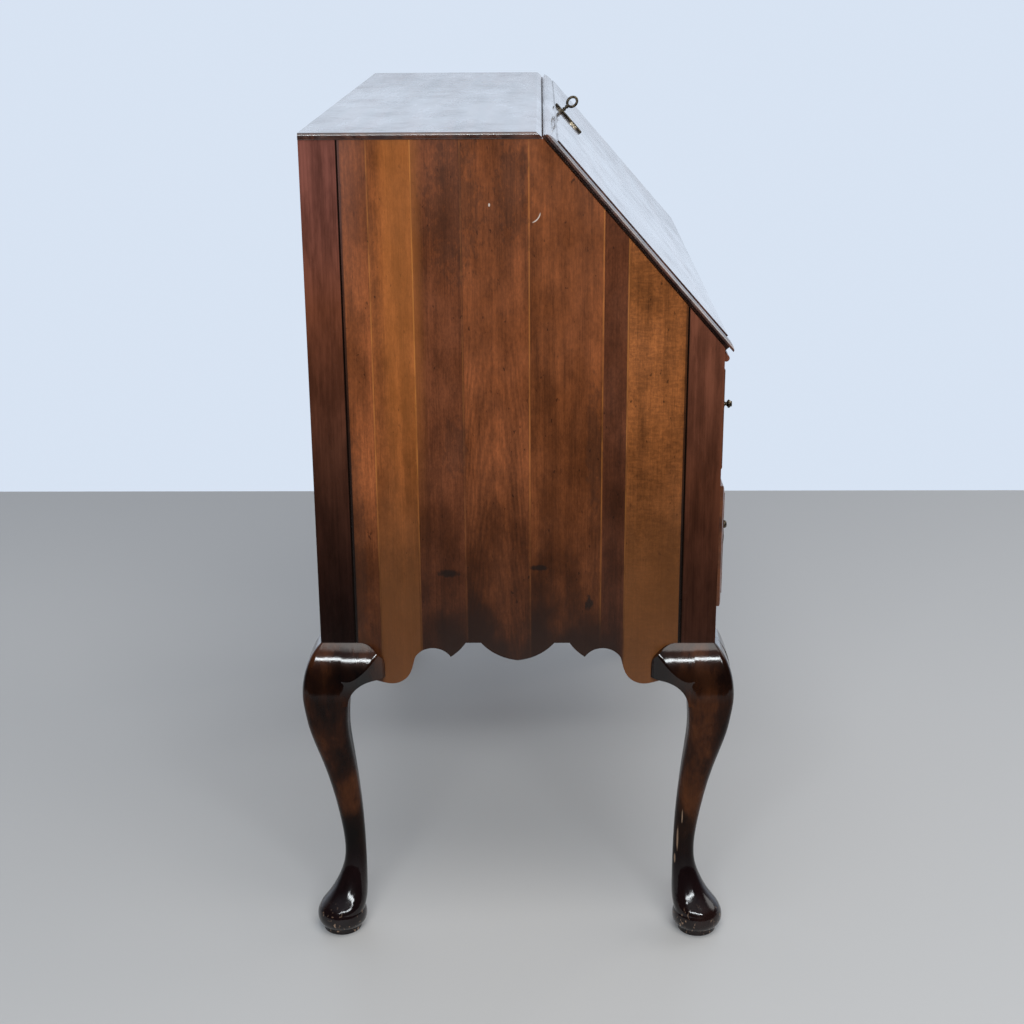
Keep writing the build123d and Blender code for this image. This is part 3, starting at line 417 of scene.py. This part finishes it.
def dark_wood():
    """Legs and corner posts: near-black polish on the legs, red-purple brown on the posts above them."""
    look = Look("dark_wood", roughness=0.24, coat=0.26, coat_roughness=0.06, specular=0.05)
    reach = look.calc("SUBTRACT", rear_y, look.y)
    fibres, pores, figure = wood_figure(look, "Z")
    clouds = look.noise(look.stretch((22, 22, 9)), detail=4, roughness=0.62)
    is_front = look.fade(reach, 0.20, 0.25)
    rear = look.ramp(look.fade(look.z, 0.40, 0.96), [
        (0.0, (0.010, 0.004, 0.003)), (0.35, (0.066, 0.023, 0.013)), (0.75, (0.135, 0.041, 0.020)),
        (1.0, (0.158, 0.054, 0.040)),
    ])
    front = look.ramp(look.fade(look.z, 0.40, 0.76), [
        (0.0, (0.034, 0.012, 0.007)), (0.5, (0.075, 0.024, 0.012)), (1.0, (0.135, 0.045, 0.025)),
    ])
    post = look.mix(is_front, rear, front)
    patches = look.noise(look.stretch((16, 16, 8)), detail=5, roughness=0.6)
    streaks = look.noise(look.stretch((60, 60, 14)), detail=5, roughness=0.65)
    post = look.shade(post, look.fade(streaks, 0.32, 0.66, 0.74, 1.26))
    joint = look.total([look.line(reach, *place) for place in POST_JOINTS])
    post = look.mix(joint, post, JOINT_COLOUR)
    mottle = look.calc("ADD", look.calc("MULTIPLY", patches, 0.65), look.calc("MULTIPLY", clouds, 0.35))
    leg = look.ramp(look.fade(mottle, 0.36, 0.64), [
        (0.0, (0.0045, 0.0014, 0.0008)), (0.45, (0.026, 0.0070, 0.0022)), (1.0, (0.080, 0.024, 0.0070)),
    ])

    # darker round the knee, on the lower shank and on the foot
    from_knee = look.calc("ABSOLUTE", look.calc("SUBTRACT", look.z, KNEE_HEIGHT))
    leg = look.shade(leg, look.fade(from_knee, 0.0, 0.035, 0.35, 1.0))
    ragged_height = look.calc("ADD", look.z, look.fade(patches, 0.3, 0.7, -0.035, 0.035))
    leg = look.shade(leg, look.fade(ragged_height, 0.15, 0.21, 0.30, 1.0))
    foot = look.fade(look.z, 0.13, 0.07)
    leg = look.mix(look.calc("MULTIPLY", foot, 0.7), leg, FOOT_COLOUR)
    on_post = look.fade(look.z, case_bottom - 0.001, case_bottom + 0.001)
    colour = look.mix(on_post, leg, post)
    colour = look.shade(colour, look.fade(fibres, 0.25, 0.75, 0.85, 1.15))
    colour = look.shade(colour, look.fade(figure, 0.3, 0.7, 0.80, 1.20))

    # bare wood in chips on the feet and scrapes down the front legs
    chips = look.fade(look.noise(look.stretch((260, 260, 150)), detail=3), 0.62, 0.68)
    chips = look.calc("MULTIPLY", chips, look.fade(look.z, 0.045, 0.012))
    scrapes = look.total([look.spot(reach, look.z, *place) for place in SCRAPES])
    worn = look.calc("MAXIMUM", look.calc("MULTIPLY", chips, 0.7), look.calc("MULTIPLY", scrapes, 0.55))
    colour = look.mix(worn, colour, BARE_WOOD)
    look.paint(colour)

    # the polish shines most on the knees and feet
    on_knee = look.calc("SUBTRACT", look.fade(look.z, 0.315, 0.345), on_post)
    on_foot = look.fade(look.z, 0.100, 0.045)
    polished = look.calc("MAXIMUM", on_knee, on_foot)
    look.feed(look.shader.inputs["Coat Weight"], look.calc("MULTIPLY_ADD", polished, 0.66, 0.13))
    look.gloss(look.fade(clouds, 0.3, 0.7, 0.18, 0.34))
    look.bump(pores, 0.0002, 0.2)
    look.bump(figure, 0.0012, 0.12)
    return look


def lid_wood():
    """Lid and top: red-brown with the hard gloss of many coats, smeared and a little dusty."""
    look = Look("lid_wood", roughness=0.30, coat=1.0, coat_roughness=0.06, specular=0.5)
    fibres, pores, figure = wood_figure(look, "X")
    clouds = look.noise(look.stretch((5, 11, 11)), detail=4, roughness=0.6)
    colour = look.mix(look.fade(figure, 0.36, 0.64), (0.032, 0.011, 0.007, 1), (0.082, 0.027, 0.014, 1))
    colour = look.shade(colour, look.fade(fibres, 0.25, 0.75, 0.85, 1.15))
    colour = look.shade(colour, look.fade(clouds, 0.3, 0.7, 0.8, 1.15))
    dust = look.noise(look.stretch((60, 90, 90)), detail=5, roughness=0.7)
    colour = look.mix(look.fade(dust, 0.45, 0.75, 0.0, 0.04), colour, (0.55, 0.53, 0.53, 1))
    look.paint(colour)
    smear = look.noise(look.stretch((7, 26, 26)), detail=4, roughness=0.65)
    look.gloss(look.fade(smear, 0.3, 0.7, 0.24, 0.40))
    streaks = look.noise(look.stretch((15, 20, 20)), detail=5, roughness=0.62)
    grime = look.fade(streaks, 0.30, 0.58, 0.80, 1.0)
    towards_right = look.fade(look.x, -0.25, 0.42, 1.0, 0.72)
    look.feed(look.shader.inputs["Coat Weight"], look.calc("MULTIPLY", grime, towards_right))
    look.bump(figure, 0.0008, 0.10)
    look.bump(pores, 0.00015, 0.12)
    return look


def brass():
    """Aged brass: dull brown in patches, brighter between them."""
    look = Look("brass", roughness=0.38, metallic=1.0)
    tarnish = look.noise(look.stretch((160, 160, 160)), detail=4, roughness=0.65)
    spots = look.noise(look.stretch((600, 600, 600)), detail=2)
    colour = look.mix(look.fade(tarnish, 0.38, 0.64), (0.032, 0.026, 0.020, 1), (0.170, 0.138, 0.094, 1))
    colour = look.shade(colour, look.fade(spots, 0.3, 0.6, 0.7, 1.1))
    look.paint(colour)
    look.gloss(look.fade(tarnish, 0.3, 0.7, 0.5, 0.28))
    look.bump(spots, 0.0002, 0.3)
    return look


looks = {
    "case_wood": case_wood(),
    "dark_wood": dark_wood(),
    "lid_wood": lid_wood(),
    "brass": brass(),
}
# name: grain axis, light colour, dark colour, roughness, coat
PLAIN_WOODS = {
    "front_wood": ("X", (0.190, 0.062, 0.024, 1), (0.085, 0.028, 0.014, 1), 0.30, 0.5),
    "writing_wood": ("X", (0.230, 0.082, 0.030, 1), (0.120, 0.040, 0.018, 1), 0.34, 0.4),
    "interior_wood": ("X", (0.300, 0.125, 0.045, 1), (0.170, 0.064, 0.026, 1), 0.40, 0.25),
    "interior_upright": ("Z", (0.280, 0.115, 0.042, 1), (0.160, 0.060, 0.025, 1), 0.40, 0.25),
    "carcase_wood": ("Y", (0.430, 0.270, 0.130, 1), (0.280, 0.155, 0.070, 1), 0.62, 0.0),
    "back_wood": ("Z", (0.330, 0.190, 0.090, 1), (0.190, 0.095, 0.045, 1), 0.66, 0.0),
}
for name, values in PLAIN_WOODS.items():
    looks[name] = plain_wood(name, *values)

# nodes that look different from the rest of their CAD material
SPECIAL = {
    "back_panel": "back_wood",
    "pigeonhole_dividers": "interior_upright",
    "gallery_partitions": "interior_upright",
    "front_apron": "front_wood",
    "middle_rail": "front_wood",
    "upper_drawer_front": "front_wood",
    "lower_drawer_front": "front_wood",
    "loper_left": "front_wood",
    "loper_right": "front_wood",
    "top_board": "lid_wood",
}
for name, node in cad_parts.items():
    slot = node.data.materials[0].name.split(".")[0]
    node.data.materials[0] = looks[SPECIAL.get(name, slot)].material

# ------------------------------------------------------------------ floor
FLOOR_SIZE = 2.62
FLOOR_COLOUR = (0.52, 0.51, 0.50, 1)
bpy.ops.mesh.primitive_plane_add(size=FLOOR_SIZE, location=(0, 0, desk_low.z))
floor = bpy.context.object
floor.name = "floor"
floor_look = Look("floor", roughness=0.55, specular=0.3)
floor_look.paint(FLOOR_COLOUR)
floor.data.materials.append(floor_look.material)

# ------------------------------------------------------------------ world and lights
world = bpy.data.worlds.new("world")
bpy.context.scene.world = world
world.use_nodes = True
sky = world.node_tree
background = sky.nodes["Background"]
direction = sky.nodes.new("ShaderNodeTexCoord").outputs["Generated"]
split_direction = sky.nodes.new("ShaderNodeSeparateXYZ")
sky.links.new(direction, split_direction.inputs[0])


def sky_ramp(value, start, end, low, high):
    """Strength that goes from low to high as a direction's component goes from start to end."""
    node = sky.nodes.new("ShaderNodeMapRange")
    node.interpolation_type = "SMOOTHSTEP"
    sky.links.new(value, node.inputs["Value"])
    for name, number in (("From Min", start), ("From Max", end), ("To Min", low), ("To Max", high)):
        node.inputs[name].default_value = number
    return node.outputs["Result"]


def sky_calc(operation, first, second):
    """Math on two sky values."""
    node = sky.nodes.new("ShaderNodeMath")
    node.operation = operation
    for socket, value in zip(node.inputs, (first, second)):
        if isinstance(value, float):
            socket.default_value = value
        else:
            sky.links.new(value, socket)
    return node.outputs[0]


far_wall = sky_ramp(split_direction.outputs["X"], 0.1, 0.75, 0.05, 1.08)
above_floor = sky_ramp(split_direction.outputs["Z"], -0.60, -0.35, 0.12, 1.0)
ceiling = sky_ramp(split_direction.outputs["Z"], 0.45, 0.9, 0.0, 0.38)
room = sky_calc("MAXIMUM", sky_calc("MULTIPLY", far_wall, above_floor), ceiling)

# the camera sees an even pale wall, whatever the room's light is
SEEN_STRENGTH = 0.945
WALL_COLOUR = (0.725, 0.815, 0.945, 1)
seen = sky.nodes.new("ShaderNodeLightPath").outputs["Is Camera Ray"]
unseen = sky_calc("SUBTRACT", 1.0, seen)
strength = sky_calc("ADD", sky_calc("MULTIPLY", room, unseen), sky_calc("MULTIPLY", seen, SEEN_STRENGTH))
background.inputs["Color"].default_value = WALL_COLOUR
sky.links.new(strength, background.inputs["Strength"])


def area_light(name, place, aim, size, power, colour):
    """Soft rectangular light at a place, pointing at another."""
    data = bpy.data.lights.new(name, "AREA")
    data.shape = "RECTANGLE"
    data.size, data.size_y = size
    data.energy = power
    data.color = colour
    light = bpy.data.objects.new(name, data)
    light.location = place
    light.rotation_euler = (Vector(aim) - Vector(place)).to_track_quat("-Z", "Y").to_euler()
    bpy.context.scene.collection.objects.link(light)


area_light("key", (-3.0, -0.2, 2.05), (-0.4, 0, 0.6), (2.6, 0.20), 68, (0.91, 0.965, 1.0))
area_light("overhead", (-1.3, -0.3, 3.0), (-0.3, 0, 0.7), (2.0, 1.6), 34, (1.0, 0.97, 0.93))
area_light("front", (0.9, -3.0, 2.2), (0, 0, 0.5), (2.2, 1.4), 24, (1.0, 0.99, 0.97))

# ------------------------------------------------------------------ camera
CAMERA_PLACE = (-2.216, -0.0273, 1.1486)
CAMERA_TURN = (71.2326, 0.3850, -89.0748)
LENS = 58.48
SENSOR = 36
lens = bpy.data.cameras.new("camera")
lens.lens = LENS
lens.sensor_width = SENSOR
camera = bpy.data.objects.new("camera", lens)
camera.location = CAMERA_PLACE
camera.rotation_euler = Euler([radians(turn) for turn in CAMERA_TURN])
bpy.context.scene.collection.objects.link(camera)
bpy.context.scene.camera = camera
bpy.context.scene.view_settings.view_transform = "Standard"
